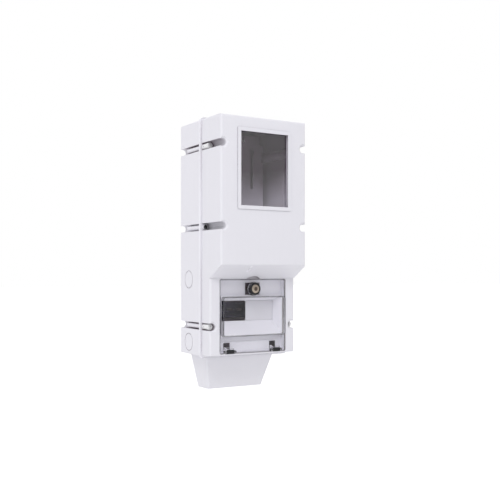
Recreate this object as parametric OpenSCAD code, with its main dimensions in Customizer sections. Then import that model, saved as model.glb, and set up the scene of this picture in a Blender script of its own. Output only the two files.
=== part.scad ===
// Wall-mounted electric meter box. A moulded base and a deep cover meet at a flange and are
// drawn together by six screws that stand in channels down the sides. The cover has a glazed
// window over the meter space, a sloping chin, and a breaker bay with a clear hinged door.
// All sizes are millimetres. The wall is the plane y = 0, the front faces -Y and up is +Z.
// A depth is a distance forward from the wall, so a point at depth d lies at y = -d.

/* [Housing] */
// Height over the flange
housing_h = 527.8; // [522:0.2:540]
// Width over the walls at the seam
housing_w = 220; // [216:1:228]
// Depth from the wall to the front of the base
base_depth = 105; // [100:1:112]
// Depth of the cover, from its back edge to the upper front
cover_depth = 86.4; // [82:0.2:92]
// Wall thickness of the base and the cover
wall = 3; // [2.6:0.1:3.4]
// How far the flange stands out of the walls
flange_proud = 3.4; // [2.8:0.2:4]
// Thickness of each half of the flange
flange_t = 3; // [2.6:0.1:3.6]
// Gap between the two halves of the flange
seam_gap = 0.6; // [0.4:0.1:0.8]
// How far each wall of the base leans in at the back
base_draft = 2; // [1:0.25:3]
// How far each wall of the cover leans in at the front
cover_draft = 1.7; // [1:0.1:2.4]
// Radius of the housing's corners, seen from the front
corner_r = 6; // [4:0.5:8]
// Radius of the cover's front edges
front_r = 5; // [3:0.5:7]
// Radius of the base's back edges
back_r = 3; // [2:0.5:4]

/* [Chin] */
// Height of the chin's upper edge above the lower end of the walls
chin_up = 200.5; // [195:0.5:206]
// Height of the sloping chin
chin_drop = 28; // [24:1:29]
// How far the lower front lies behind the upper front
chin_run = 47; // [42:1:49]
// How far the cover's bottom rises from the seam to the lower front
sole_rise = 4; // [2:0.5:5]
// Width of the small raised mark on the chin
chin_mark_w = 3.2; // [2:0.2:4]
// Length of the small raised mark on the chin, down its slope
chin_mark_l = 9; // [6:0.5:10]
// How far that mark stands up from the slope
chin_mark_h = 1.6; // [0.8:0.2:2]
// How far left of the middle the mark lies
chin_mark_x = 30; // [26:1:34]

/* [Cover fixings] */
// Distance of each screw's axis in from the wall's outside at the seam
fix_inset = 7.5; // [7:0.25:8]
// Distance of the top pair of screws below the upper end of the walls
fix_top_in = 61.5; // [57:0.5:66]
// Height of the middle pair of screws, from the middle of the housing
fix_mid_z = 23.5; // [18:0.5:29]
// Height of the lowest pair of screws above the lower end of the walls
fix_low_in = 66.5; // [63:0.5:70]
// Radius of the round-bottomed channels in the cover
channel_r = 8; // [7.75:0.25:9]
// Thickness of the skin around each channel
channel_skin = 2.5; // [2:0.1:3]
// Depth of the bevel where a channel opens in the front
mouth_bevel = 3.75; // [2.5:0.25:4.5]
// Radius of the round-bottomed slots in the base
slot_r = 7.75; // [7:0.25:9]
// Diameter of the screw boss that stands in each slot
boss_d = 11; // [10:0.25:12]
// Depth from the wall at which that boss starts
boss_start = 33; // [25:1:45]
// Diameter of the screw's shank
shank_d = 5; // [4:0.25:5.5]
// Length of the shank that goes into the base
shank_l = 14; // [12:0.5:18]
// Diameter of the tall sealable screw heads
seal_head_d = 14; // [12:0.5:15]
// Height of the tall sealable screw heads
seal_head_h = 24.5; // [20:0.5:30]
// Diameter of the hole for the seal's wire
seal_hole_d = 2.6; // [2:0.2:3.2]
// Distance of that hole from the head's underside
seal_hole_at = 7; // [4:0.5:12]
// Outer diameter of the collar round each middle screw
mid_collar_d = 13; // [12:0.5:14]
// Height of the collar round each middle screw
mid_collar_h = 5; // [4:0.5:7]
// Diameter of the middle screws' heads
mid_head_d = 9; // [8:0.25:10]
// Height of the middle screws' heads
mid_head_h = 2.4; // [2:0.2:3.6]
// Outer diameter of the threaded inserts
insert_d = 7; // [6.6:0.1:8]
// Length of the threaded inserts
insert_l = 12; // [10:0.5:14]
// Width of the seam's gasket
gasket_w = 1.8; // [1.4:0.1:2]
// Depth of the gasket's groove in the base
groove_depth = 1.5; // [1:0.1:2]

/* [Base details] */
// Diameter of the cable knockouts on the sides
knockout_d = 40; // [32:1:44]
// Width of the thin ring that outlines a knockout
knockout_line = 1.2; // [0.8:0.1:1.6]
// Depth of that ring
knockout_cut = 1.2; // [0.8:0.1:1.6]
// Depth of the knockouts' centres from the wall
knockout_depth = 43.5; // [38:0.5:50]
// Height of the upper knockouts above the lower end of the walls
knockout_top_up = 169; // [161:0.5:180]
// Height of the lower knockouts above the lower end of the walls
knockout_low_up = 28.5; // [26.5:0.5:34]
// Diameter of the wall fixing holes
wall_hole_d = 6.5; // [5:0.5:8]
// Distance of the wall fixing holes in from the sides of the housing
wall_hole_side = 25; // [22:0.5:30]
// Distance of the wall fixing holes in from the ends of the housing
wall_hole_end = 23.9; // [20.9:0.2:27.9]
// Diameter of the pads round the wall fixing holes
wall_pad_d = 16; // [14:0.5:20]
// How far those pads stand up from the back
wall_pad_h = 2; // [1:0.25:4]

/* [Window] */
// Width of the window opening
window_w = 120; // [110:1:126]
// Height of the window opening
window_h = 159; // [150:1:166]
// Distance from the upper end of the walls down to the window opening
window_top_in = 34; // [29:0.5:37]
// Width of the raised frame round the window
bezel_w = 8; // [5:0.5:10]
// How far that frame stands out
bezel_proud = 2; // [1:0.25:3]
// Thickness of the window pane
pane_t = 3; // [2:0.25:4]
// How far the pane laps behind the opening's edge
pane_lap = 7; // [5:0.5:8]
// Thickness of the pane's gasket
pane_gasket_t = 1; // [0.6:0.1:1.5]
// Thickness of the frame that holds the pane
frame_t = 3; // [2:0.25:4]
// Width of the clear gap between the frame's opening and the window's
frame_step = 2; // [1:0.25:3]
// Diameter of the bosses for the frame's screws
frame_boss_d = 7; // [6:0.25:8]

/* [Breaker bay] */
// Distance of the bay's opening in from the sides of the housing
bay_side = 24.5; // [23:0.25:26]
// Corner radius of the bay's opening
bay_r = 4; // [2:0.5:6]
// Distance from the chin's lower edge down to the bay's opening
bay_below_chin = 2; // [1:0.25:3]
// Depth of the bay's floor behind the lower front
bay_depth = 16; // [14:0.5:18]
// Thickness of the breaker panel
panel_t = 2.5; // [2:0.1:3]
// Thickness of the panel's upstanding rim
rim_t = 2; // [1.5:0.1:2.5]
// Gap between the panel and the opening round it
panel_gap = 0.3; // [0.2:0.05:0.4]
// Width of one breaker module; the cut-out takes as many as fit
module_w = 17.5; // [17:0.1:18]
// Least width of the panel beside the cut-out
din_side = 12.5; // [10:0.5:15]
// Height of the cut-out for breakers
din_h = 45; // [44:0.5:46]
// Distance of the middle of the cut-out below the upper edge of the bay
din_down = 71.3; // [68:0.1:74]
// Depth of the cut-out's plane behind the bay's floor
din_set_back = 15; // [12:0.5:16]
// How far the funnel's front edge lies outside the cut-out, at the sides
funnel_side = 7.5; // [5:0.25:9]
// The same above the cut-out
funnel_above = 9.8; // [7:0.1:10]
// The same below the cut-out
funnel_below = 31.7; // [28:0.1:33]
// How far the funnel's front edge stands forward of the bay's floor
funnel_rise = 11; // [8:0.5:11.5]
// Distance of the panel's screws out from the bay's opening
ear_out = 8.5; // [8:0.25:10]
// Diameter of the bosses for the panel's screws
ear_boss_d = 8; // [7:0.25:9]
// Distance of the top pair of panel screws below the upper edge of the bay
ear_top_in = 22; // [16:1:28]
// Height of the lower pair of panel screws above the lower edge of the bay
ear_low_in = 19.5; // [15:0.5:25]
// Height of the low bar that crosses the bay above the hinges
sill_h = 1.2; // [0.8:0.1:2]
// Distance from that bar to the hinge slots below it
sill_above_slot = 1.5; // [1:0.25:3]
// Length of the blanking strip that closes part of the cut-out
blank_l = 72; // [52:1:100]
// Thickness of the blanking strip
blank_t = 1.6; // [1.2:0.1:2]

/* [Door] */
// Thickness of the door
door_t = 2.5; // [2:0.1:3]
// Gap between the door and the opening round it
door_gap = 0.7; // [0.4:0.05:1]
// Depth of the rim behind the door's edge
door_rim = 1.6; // [1:0.1:2]
// Distance of the raised part of the door in from the sides of the bay
bulge_side = 5; // [4:0.25:6.5]
// Height of the raised part of the door
bulge_h = 87; // [85:0.5:90]
// Distance of the middle of the raised part below the upper edge of the bay
bulge_down = 82.5; // [81:0.5:84]
// How far the raised part stands out
bulge_proud = 8; // [6:0.5:10]
// Corner radius of the raised part
bulge_r = 6; // [4:0.5:9]
// How far the door reaches below its pins
door_below_pin = 2.5; // [2:0.25:2.75]
// Angle at which the door is drawn
door_open = 0; // [0:1:160]

/* [Hinges] */
// Diameter of the hinge pins
pin_d = 3; // [2.5:0.1:3.4]
// Clearance round a pin in the door's knuckles
pin_clear = 0.06; // [0.03:0.01:0.09]
// Width of each black hinge block
block_w = 18.5; // [16:0.25:20]
// Height of each hinge block
block_h = 8.4; // [7.6:0.1:8.6]
// Length of each hinge block, front to back
block_l = 9; // [8.5:0.25:10]
// Distance of each hinge's middle in from the side of the bay
hinge_in = 26; // [23.5:0.5:31]
// Diameter of the door's knuckles
knuckle_d = 7.6; // [7:0.1:8]
// Width of the door's knuckles
knuckle_w = 5; // [4:0.25:6]
// Side gap between a knuckle and its block
knuckle_gap = 0.4; // [0.3:0.05:0.8]
// Height of the pin above the bottom of the bay
pin_above = 4.4; // [4.3:0.05:4.8]
// How far the pin lies behind the lower front
pin_back = 0.5; // [0:0.25:1]
// Width of the slot in the panel behind each hinge block
hinge_slot_w = 17; // [14:0.5:18]
// Height of that slot
hinge_slot_h = 20.5; // [16:0.5:22]
// Thickness of the arm that carries a hinge block
arm_t = 4; // [3:0.25:5]
// Distance of the arm from the left end of the slot
arm_in = 2.5; // [1:0.25:4]

/* [Lock] */
// Distance of the lock's axis below the upper edge of the bay
lock_down = 22; // [21:0.5:24]
// Diameter of the black ring
ring_d = 27; // [24:0.5:28]
// Distance from the door's face to the front of the ring
ring_proud = 10; // [8:0.5:12]
// Height of the clear collar under the ring
lock_collar_h = 1.2; // [0.8:0.1:2]
// Diameter of the lock's domed face
face_d = 19; // [17.5:0.25:21]
// Height of the dome on the face
dome_h = 1.6; // [1:0.1:2]
// Diameter of the lock's barrel
barrel_d = 16; // [15:0.25:17]
// Diameter of the turning core
core_d = 9; // [8:0.25:10]
// Clearance round the core
core_clear = 0.05; // [0.03:0.01:0.09]
// Width of the keyway
keyway_w = 1.6; // [1.2:0.1:2]
// Width across the flats of the lock's nut
nut_af = 22; // [20:0.5:24]
// Thickness of the lock's nut
nut_t = 4; // [3:0.25:5]
// Length of the cam, from the lock's axis
cam_l = 23; // [21:0.25:24]
// Width of the cam
cam_w = 10; // [9:0.25:12]
// Thickness of the cam
cam_t = 2.5; // [2:0.1:3]
// Gap between the cam and the back of the panel
cam_gap = 2; // [1.5:0.1:3]
// Height of the hole in the panel that the cam passes through
strike_h = 27; // [26:0.25:28]
// How far that hole reaches left of the lock's axis
strike_left = 12.5; // [11:0.25:14]
// How far it reaches to the right, past the cam
strike_right = 26; // [25:0.25:28]
// Radius of the finger scallop in the chin, round the lock's axis
scallop_r = 28; // [26.5:0.25:29]
// Thickness of the scallop's back wall
scallop_back = 2; // [1.5:0.25:3]

/* [Meter plate and rail] */
// Distance of the meter plate in from the sides of the housing
plate_side = 15; // [12:0.5:20]
// Height of the meter plate
plate_h = 249; // [240:1:252]
// Distance of the plate's upper edge below the upper end of the walls
plate_top_in = 13.5; // [12:0.5:16]
// Thickness of the meter plate
plate_t = 3; // [2:0.25:4]
// Distance from the wall to the back of the plate
plate_depth = 30; // [24:1:40]
// Distance of each tall slot from the middle
plate_slot_x = 62; // [54:1:70]
// Width of the tall slots
plate_slot_w = 8; // [6:0.5:10]
// Height of the tall slots
plate_slot_h = 96; // [80:1:110]
// Height of the middle of the tall slots above the middle of the plate
plate_slot_up = 47.5; // [38:0.5:53]
// Diameter of the round head of each slot
plate_eye_d = 14; // [12:0.5:18]
// Diameter of the bosses under the plate
plate_boss_d = 12; // [10:0.5:14]
// Distance of those bosses from the middle
plate_boss_x = 40; // [34:1:46]
// Distance of those bosses in from the plate's ends
plate_boss_in = 12; // [10:0.5:16]
// Distance of the mounting rail's ends in from the sides of the housing
rail_side = 22; // [20:0.5:30]
// Depth of a breaker from the rail's front to the back of the panel
breaker_depth = 45; // [44:0.25:47]
// Pitch of the slots in the rail
rail_pitch = 25; // [22:0.5:26]
// Diameter of the posts that carry the rail
rail_post_d = 14; // [12:0.5:16]

/* [Cable funnel] */
// Distance of the funnel in from the sides of the housing
funnel_in = 21; // [20:0.5:24]
// How far each side of the funnel leans in at its mouth
funnel_lean = 17.75; // [12:0.25:22]
// Height of the funnel below the flange's lower edge
funnel_drop = 75; // [65:1:85]
// Distance of the funnel's back from the wall, at the housing
funnel_back = 11.5; // [10.5:0.25:14]
// Distance of its front from the wall, at the housing
funnel_front = 89.5; // [86:0.5:92]
// Distance of its back from the wall, at the mouth
mouth_back = 13; // [12:0.5:18]
// Distance of its front from the wall, at the mouth
mouth_front = 65.5; // [60:0.5:72]
// Wall thickness of the funnel
funnel_wall = 2.5; // [2:0.1:3]
// Radius of the funnel's upright edges
funnel_r = 6; // [4:0.5:8]
// Width of the ledge that rests in the housing
ledge_w = 7; // [6.5:0.25:7.5]
// Thickness of that ledge
ledge_t = 2.5; // [2:0.1:3]

/* [Hidden] */
$fn = 48;

// Steps in each rounded corner of an outline
corner_steps = 6;
// Length that runs safely past any face in a cut
past = 2;
// Clearance between fixed pieces that fit into one another
seat = 0.1;

// Colours
shell_grey = [0.90, 0.89, 0.92];
panel_grey = [0.80, 0.79, 0.82];
clear_tint = [0.86, 0.88, 0.92, 0.35];
smoke_tint = [0.45, 0.43, 0.46, 0.55];
rubber_black = [0.08, 0.08, 0.09];
steel = [0.70, 0.71, 0.73];
brass = [0.80, 0.62, 0.28];
nickel = [0.78, 0.76, 0.74];

// Depths of the main planes, measured from the wall
cover_back = base_depth + seam_gap;
front_d = cover_back + cover_depth;
low_d = front_d - chin_run;
floor_d = low_d - bay_depth;
din_d = floor_d - din_set_back;
rail_d = din_d - rim_t - breaker_depth;

// Half sizes of the walls at the seam and at the back
seam_hw = housing_w / 2;
seam_hh = housing_h / 2 - flange_proud;
back_hw = seam_hw - base_draft;
back_hh = seam_hh - base_draft;
chin_z = -seam_hh + chin_up;
chin_low_z = chin_z - chin_drop;
sole_z = -seam_hh + sole_rise;

// Opening of the breaker bay
bay_w = housing_w - 2 * bay_side;
bay_top = chin_low_z - bay_below_chin;
bay_bottom = sole_z + wall;
bay_h = bay_top - bay_bottom;
bay_mid = (bay_top + bay_bottom) / 2;
din_w = module_w * floor((bay_w - 2 * din_side) / module_w);
din_z = bay_top - din_down;
ear_zs = [bay_top - ear_top_in, bay_bottom + ear_low_in];
bulge_w = bay_w - 2 * bulge_side;
bulge_z = bay_top - bulge_down;

// Axis of the hinge and planes of the door
pin_z = bay_bottom + pin_above;
hinge_x = bay_w / 2 - hinge_in;
pin_depth = low_d - pin_back;
door_back = low_d - door_t;
rim_front = door_back - door_rim - 0.6;
knuckle_in = block_w / 2 + knuckle_gap;

// Height and planes of the lock, from front to back
lock_z = bay_top - lock_down;
ring_front = low_d + ring_proud;
ring_back = low_d + lock_collar_h;
cam_front = floor_d - panel_t - cam_gap;
cam_back = cam_front - cam_t;
screw_head_h = 2.2;

// Places of the cover's screws
fix_x = seam_hw - fix_inset;
fix_top_z = seam_hh - fix_top_in;
fix_low_z = -seam_hh + fix_low_in;
fix_zs = [fix_top_z, fix_mid_z, fix_low_z];
seal_zs = [fix_top_z, fix_low_z];
pad_r = channel_r + channel_skin + 1;

// Places of the knockouts and of the wall fixing holes
knockout_top_z = -seam_hh + knockout_top_up;
knockout_low_z = -seam_hh + knockout_low_up;
wall_hole_w = housing_w - 2 * wall_hole_side;
wall_hole_h = housing_h - 2 * wall_hole_end;

// Small machine screws, and how far they reach into their bosses
small_d = 3;
small_head_d = 6;
plate_head_d = 7;
ear_grip = 8;
post_grip = 10;
pilot_clear = 0.1;
pilot_spare = 3;

// Places of the small screws and of what they hold
window_z = seam_hh - window_top_in - window_h / 2;
ear_x = bay_w / 2 + ear_out;
pane_w = window_w + 2 * pane_lap;
pane_h = window_h + 2 * pane_lap;
pane_front = front_d - wall - pane_gasket_t;
frame_front = pane_front - pane_t;
frame_fix_x = pane_w / 2 + frame_boss_d / 2 + 1;
frame_fix_in = 10;
frame_fix_zs = [window_z - pane_h / 2 + frame_fix_in, window_z, window_z + pane_h / 2 - frame_fix_in];
plate_w = housing_w - 2 * plate_side;
plate_z = seam_hh - plate_top_in - plate_h / 2;
plate_slot_z = plate_z + plate_slot_up;
plate_zs = [plate_z - plate_h / 2 + plate_boss_in, plate_z + plate_h / 2 - plate_boss_in];
rail_l = housing_w - 2 * rail_side;
rail_post_x = 2.5 * rail_pitch;
funnel_top_w = housing_w - 2 * funnel_in;
funnel_mouth_w = funnel_top_w - 2 * funnel_lean;
ledge_fix_x = funnel_top_w / 2 + ledge_w / 2 + 0.25;
ledge_fix_in = 14;
ledge_fix_ds = [funnel_back + ledge_fix_in, funnel_front - ledge_fix_in];

// Rail profile, a standard 35 mm top hat
rail_h = 35;
rail_channel = 27;
rail_deep = 7.5;
rail_t = 1;
rail_slot_w = 6.3;
rail_slot_l = 15;

// Vector helpers for outlines whose points are [x, y, corner radius]
function flat(p) = [p[0], p[1]];
function unit(v) = v / norm(v);
function radius(p) = len(p) > 2 ? p[2] : 0;
function left_of(v) = [-v[1], v[0]];
function edge_normal(points, i) =
    let(n = len(points)) left_of(unit(flat(points[(i + 1) % n]) - flat(points[i])));

// An outline drawn anticlockwise, moved in by d on every side
function inset(points, d) = [for (i = [0 : len(points) - 1])
    let(n = len(points),
        a = edge_normal(points, (i + n - 1) % n),
        b = edge_normal(points, i),
        p = flat(points[i]) + (a + b) * d / (1 + a * b),
        r = radius(points[i]),
        turn = a[0] * b[1] - a[1] * b[0])
    [p[0], p[1], r == 0 ? 0 : max(turn > 0 ? r - d : r + d, 0)]];

// The points of an outline, with each corner turned into its arc
function arc_at(before, at, after, r) =
    let(u = unit(before - at), v = unit(after - at),
        half = acos(u * v) / 2,
        centre = at + unit(u + v) * r / sin(half),
        from = at + u * r / tan(half) - centre,
        to = at + v * r / tan(half) - centre,
        start = atan2(from[1], from[0]),
        sweep = (atan2(to[1], to[0]) - start + 3 * 180) % 360 - 180)
    [for (k = [0 : corner_steps])
        centre + r * [cos(start + sweep * k / corner_steps), sin(start + sweep * k / corner_steps)]];
function rounded(points) = [for (i = [0 : len(points) - 1])
    let(n = len(points), p = points[i])
    each (radius(p) == 0 ? [flat(p)]
        : arc_at(flat(points[(i + n - 1) % n]), flat(p), flat(points[(i + 1) % n]), radius(p)))];

// A half outline followed by its mirror image below
function both_sides(half) =
    concat(half, [for (i = [len(half) - 1 : -1 : 0]) [half[i][0], -half[i][1]]]);

// Half width and half height of the walls at a depth
function base_hw(d) = back_hw + base_draft * d / base_depth;
function base_hh(d) = back_hh + base_draft * d / base_depth;
function cover_hw(d) = seam_hw - cover_draft * (d - cover_back) / cover_depth;
function cover_top(d) = seam_hh - cover_draft * (d - cover_back) / cover_depth;
function cover_sole(d) = -seam_hh + sole_rise * (d - cover_back) / (low_d - cover_back);
// Inside of the base's bottom wall at a depth
function sump_z(d) = -base_hh(d) + wall;

// Outlines in plan, points [x, y, r], and from the side, points [y, z, r]
function base_plan(front) = [[-base_hw(front), -front], [base_hw(front), -front],
    [back_hw, 0, back_r], [-back_hw, 0, back_r]];
function base_side(front) = [[0, -back_hh, back_r], [0, back_hh, back_r],
    [-front, base_hh(front)], [-front, -base_hh(front)]];
function cover_plan(back, front) = [[-cover_hw(back), -back], [-cover_hw(front), -front, front_r],
    [cover_hw(front), -front, front_r], [cover_hw(back), -back]];
function cover_side(back) = [[-back, cover_sole(back)], [-back, cover_top(back)],
    [-front_d, cover_top(front_d), front_r], [-front_d, chin_z, front_r],
    [-low_d, chin_low_z, 1], [-low_d, sole_z, front_r - 1]];

// The lower front in plan: its rounded edges, and sides that stand clear of the walls
function nose_outline(back, shrink) =
    let(arcs = rounded(inset(cover_plan(back, low_d), shrink)), n = len(arcs))
    concat([[-housing_w, -back]], [for (i = [1 : n - 2]) arcs[i]], [[housing_w, -back]]);

// Extrudes an outline of x and z forward, from one depth to another
module between(from, to) {
    translate([0, -from, 0])
        rotate([90, 0, 0])
            linear_extrude(to - from)
                children();
}

// Extrudes an outline of y and z across the middle, to the given width
module across(width) {
    translate([-width / 2, 0, 0])
        rotate([90, 0, 90])
            linear_extrude(width)
                children();
}

// Extrudes an outline of x and y upwards, from one height to another
module upright(from, to) {
    translate([0, 0, from])
        linear_extrude(to - from)
            children();
}

module rounded_rect(w, h, r) {
    square([w - 2 * r, h], center = true);
    square([w, h - 2 * r], center = true);
    for (x = [-1, 1], y = [-1, 1])
        translate([x * (w / 2 - r), y * (h / 2 - r)])
            circle(r);
}

// Round bar from one depth to another
module peg(d, from, to) {
    between(from, to)
        circle(d = d);
}

// Puts a copy on the left and on the right at each height
module at_pairs(x, zs) {
    for (side = [0, 1], z = zs)
        mirror([side, 0, 0])
            translate([x, 0, z])
                children();
}

// Outline that is round on its inner side and open to the outside
module u_outline(r) {
    circle(r);
    translate([0, -r])
        square([fix_inset + flange_proud + past, 2 * r]);
}

// Cross recess of a screw head whose face is at depth d
module cross_recess(d, size) {
    for (turn = [0, 90])
        translate([0, -d, 0])
            rotate([0, turn, 0])
                cube([size, 2, size / 5], center = true);
}

// Pan-headed screw seen from the front, its head's underside at depth d
module small_screw(d, length, head_d = small_head_d) {
    difference() {
        union() {
            peg(head_d, d, d + screw_head_h);
            peg(small_d, d - length, d + 0.5);
        }
        cross_recess(d + screw_head_h, head_d * 0.6);
    }
}

// The same screw driven forward from behind, its head's underside at depth d
module rear_screw(d, length) {
    difference() {
        union() {
            peg(small_head_d, d - screw_head_h, d);
            peg(small_d, d - 0.5, d + length);
        }
        cross_recess(d - screw_head_h, small_head_d * 0.6);
    }
}

// Solid outer form of the base, open to the front, moved in by shrink
module base_form(front, shrink) {
    intersection() {
        upright(-housing_h / 2, housing_h / 2)
            polygon(rounded(inset(base_plan(front), shrink)));
        across(housing_w + 2 * past)
            polygon(rounded(inset(base_side(front), shrink)));
        between(-past, front + past)
            rounded_rect(housing_w - 2 * shrink, 2 * seam_hh - 2 * shrink, corner_r - shrink);
    }
}

// Solid outer form of the cover, from a back plane forward, moved in by shrink
module cover_form(back, shrink) {
    intersection() {
        across(housing_w + 2 * past)
            polygon(rounded(inset(cover_side(back), shrink)));
        upright(-housing_h / 2, housing_h / 2)
            polygon(rounded(inset(cover_plan(back, front_d), shrink)));
        union() {
            upright(chin_low_z, housing_h / 2)
                translate([-housing_w, -front_d - past])
                    square([2 * housing_w, front_d]);
            upright(-housing_h / 2, chin_low_z)
                polygon(nose_outline(back, shrink));
        }
        between(back - past, front_d + past)
            rounded_rect(housing_w - 2 * shrink, 2 * seam_hh - 2 * shrink, corner_r - shrink);
    }
}

// Seam outline moved in by s, running inside the fixing channels
module seam_outline(s) {
    difference() {
        rounded_rect(housing_w - 2 * s, 2 * seam_hh - 2 * s, corner_r - min(s, 3));
        for (side = [0, 1], z = fix_zs)
            mirror([side, 0])
                translate([fix_x, z])
                    u_outline(channel_r + s);
    }
}

// Flange plate with the housing's opening, and a pad across each channel
module flange_outline() {
    difference() {
        rounded_rect(housing_w + 2 * flange_proud, housing_h, corner_r + flange_proud);
        difference() {
            rounded_rect(housing_w - 2 * wall, 2 * seam_hh - 2 * wall, corner_r - wall);
            for (side = [0, 1], z = fix_zs)
                mirror([side, 0])
                    translate([fix_x, z])
                        u_outline(pad_r);
        }
    }
}

module knockout_ring(z) {
    lean = atan(base_draft / base_depth);
    for (side = [0, 1])
        mirror([side, 0, 0])
            translate([base_hw(knockout_depth), -knockout_depth, z])
                rotate([0, 0, lean])
                    rotate([0, 90, 0])
                        difference() {
                            cylinder(d = knockout_d, h = 2 * knockout_cut, center = true);
                            cylinder(d = knockout_d - 2 * knockout_line, h = 4 * knockout_cut, center = true);
                        }
}

// Hole in the base's bottom that the funnel's neck passes through
module neck_hole() {
    w = funnel_top_w + 1;
    upright(-seam_hh - past, sump_z(0) + past)
        translate([-w / 2, -funnel_front - 0.5])
            square([w, funnel_front - funnel_back + 1]);
}

module base_shell() {
    difference() {
        base_form(base_depth, 0);
        base_form(base_depth + 2 * wall, wall);
    }
    intersection() {
        base_form(base_depth, 0);
        at_pairs(fix_x, fix_zs)
            between(0, base_depth)
                u_outline(slot_r + wall);
    }
    between(base_depth - flange_t, base_depth)
        flange_outline();
    at_pairs(wall_hole_w / 2, [-wall_hole_h / 2, wall_hole_h / 2])
        peg(wall_pad_d, wall - 0.5, wall + wall_pad_h);
    at_pairs(plate_boss_x, plate_zs)
        peg(plate_boss_d, wall - 0.5, plate_depth);
    at_pairs(rail_post_x, [din_z])
        peg(rail_post_d, wall - 0.5, rail_d - rail_deep);
}

// Boss for a screw's insert, joined by a web to the bottom of its slot
module slot_boss() {
    peg(boss_d, boss_start, base_depth - flange_t + 0.5);
    translate([-slot_r - 0.5, -(base_depth - flange_t + 0.5), -wall / 2])
        cube([slot_r, base_depth - flange_t - boss_start + 0.5, wall]);
}

module base_housing() {
    color(shell_grey)
        difference() {
            union() {
                difference() {
                    base_shell();
                    at_pairs(fix_x, fix_zs)
                        between(-past, base_depth - flange_t)
                            u_outline(slot_r);
                }
                at_pairs(fix_x, fix_zs)
                    slot_boss();
            }
            between(base_depth - groove_depth, base_depth + past)
                gasket_outline(0);
            at_pairs(fix_x, fix_zs)
                peg(insert_d, base_depth - insert_l - 0.5, base_depth + past);
            at_pairs(fix_x, fix_zs)
                peg(shank_d + 1, base_depth - shank_l - past, base_depth);
            at_pairs(wall_hole_w / 2, [-wall_hole_h / 2, wall_hole_h / 2])
                peg(wall_hole_d, -past, wall + wall_pad_h + past);
            at_pairs(plate_boss_x, plate_zs)
                peg(small_d + pilot_clear, plate_depth - post_grip - pilot_spare, plate_depth + past);
            at_pairs(rail_post_x, [din_z])
                peg(small_d + pilot_clear, rail_d - rail_deep + rail_t - post_grip - pilot_spare, rail_d);
            knockout_ring(knockout_top_z);
            knockout_ring(knockout_low_z);
            neck_hole();
            for (d = ledge_fix_ds)
                at_pairs(ledge_fix_x, [sump_z(d)])
                    translate([0, -d, -wall + 0.6])
                        cylinder(d = small_d + pilot_clear, h = wall + past);
        }
}

// Ring that the gasket and its groove fill, with the gasket's side clearance
module gasket_outline(clear) {
    lead = (wall - gasket_w) / 2;
    difference() {
        seam_outline(lead + clear);
        seam_outline(lead + gasket_w - clear);
    }
}

module cover_gasket() {
    color(rubber_black)
        between(base_depth - groove_depth, cover_back)
            gasket_outline(0.05);
}

module thread_inserts() {
    color(brass)
        at_pairs(fix_x, fix_zs)
            difference() {
                peg(insert_d, base_depth - insert_l, base_depth - 0.3);
                peg(shank_d, base_depth - insert_l - past, base_depth + past);
            }
}

// Raised frame round the window
module bezel() {
    between(front_d - 0.5, front_d + bezel_proud)
        translate([0, window_z])
            rounded_rect(window_w + 2 * bezel_w, window_h + 2 * bezel_w, 3);
}

// Outline of the breaker bay's opening, moved in by s
module bay_outline(s) {
    translate([0, bay_mid])
        rounded_rect(bay_w - 2 * s, bay_h - 2 * s, bay_r - s);
}

// Round shape above the bay, from a depth forward, that follows the lock's axis
module scallop(r, from) {
    between(from, front_d)
        intersection() {
            translate([0, lock_z])
                circle(r);
            translate([-r, bay_top])
                square([2 * r, r]);
        }
}

// Small raised mark that lies on the chin's slope
module chin_mark() {
    slope = atan2(chin_drop, chin_run);
    translate([-chin_mark_x, -front_d + chin_run * 0.3, chin_z - chin_drop * 0.3])
        rotate([-slope, 0, 0])
            cube([chin_mark_w, chin_mark_l, 2 * chin_mark_h], center = true);
}

module cover_shell() {
    difference() {
        cover_form(cover_back, 0);
        cover_form(cover_back - 2 * wall, wall);
    }
    intersection() {
        cover_form(cover_back, 0);
        at_pairs(fix_x, fix_zs)
            between(cover_back, front_d)
                u_outline(channel_r + channel_skin);
    }
    between(cover_back, cover_back + flange_t)
        flange_outline();
    at_pairs(ear_x, ear_zs)
        peg(ear_boss_d, floor_d, low_d - wall + 0.5);
    at_pairs(frame_fix_x, frame_fix_zs)
        peg(frame_boss_d, frame_front, front_d - wall + 0.5);
    intersection() {
        cover_form(cover_back, 0);
        scallop(scallop_r + wall, low_d - wall - scallop_back);
    }
    bezel();
    chin_mark();
}

// Channel with a bevelled mouth where it opens in a front face at depth face_d
module channel(face) {
    between(cover_back + flange_t, face + past)
        u_outline(channel_r);
    translate([0, -face + mouth_bevel, 0])
        rotate([90, 0, 0])
            cylinder(r1 = channel_r, r2 = channel_r + 2 * mouth_bevel, h = 2 * mouth_bevel);
}

module front_cover() {
    color(shell_grey)
        difference() {
            union() {
                difference() {
                    cover_shell();
                    at_pairs(fix_x, [fix_top_z, fix_mid_z])
                        channel(front_d);
                    at_pairs(fix_x, [fix_low_z])
                        channel(low_d);
                }
                at_pairs(fix_x, [fix_mid_z])
                    peg(mid_collar_d, cover_back + 1, cover_back + flange_t + mid_collar_h);
            }
            at_pairs(fix_x, [fix_mid_z])
                peg(mid_head_d + 1, cover_back + flange_t, front_d);
            at_pairs(fix_x, fix_zs)
                peg(shank_d + 1, cover_back - past, cover_back + flange_t + past);
            between(front_d - wall - past, front_d + bezel_proud + past)
                translate([0, window_z])
                    square([window_w, window_h], center = true);
            between(low_d - wall - past, low_d + past)
                bay_outline(0);
            scallop(scallop_r, low_d - wall);
            at_pairs(ear_x, ear_zs)
                peg(small_d + pilot_clear, floor_d - past, low_d - wall);
            at_pairs(frame_fix_x, frame_fix_zs)
                peg(small_d + pilot_clear, frame_front - past, front_d - wall);
        }
}

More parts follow.
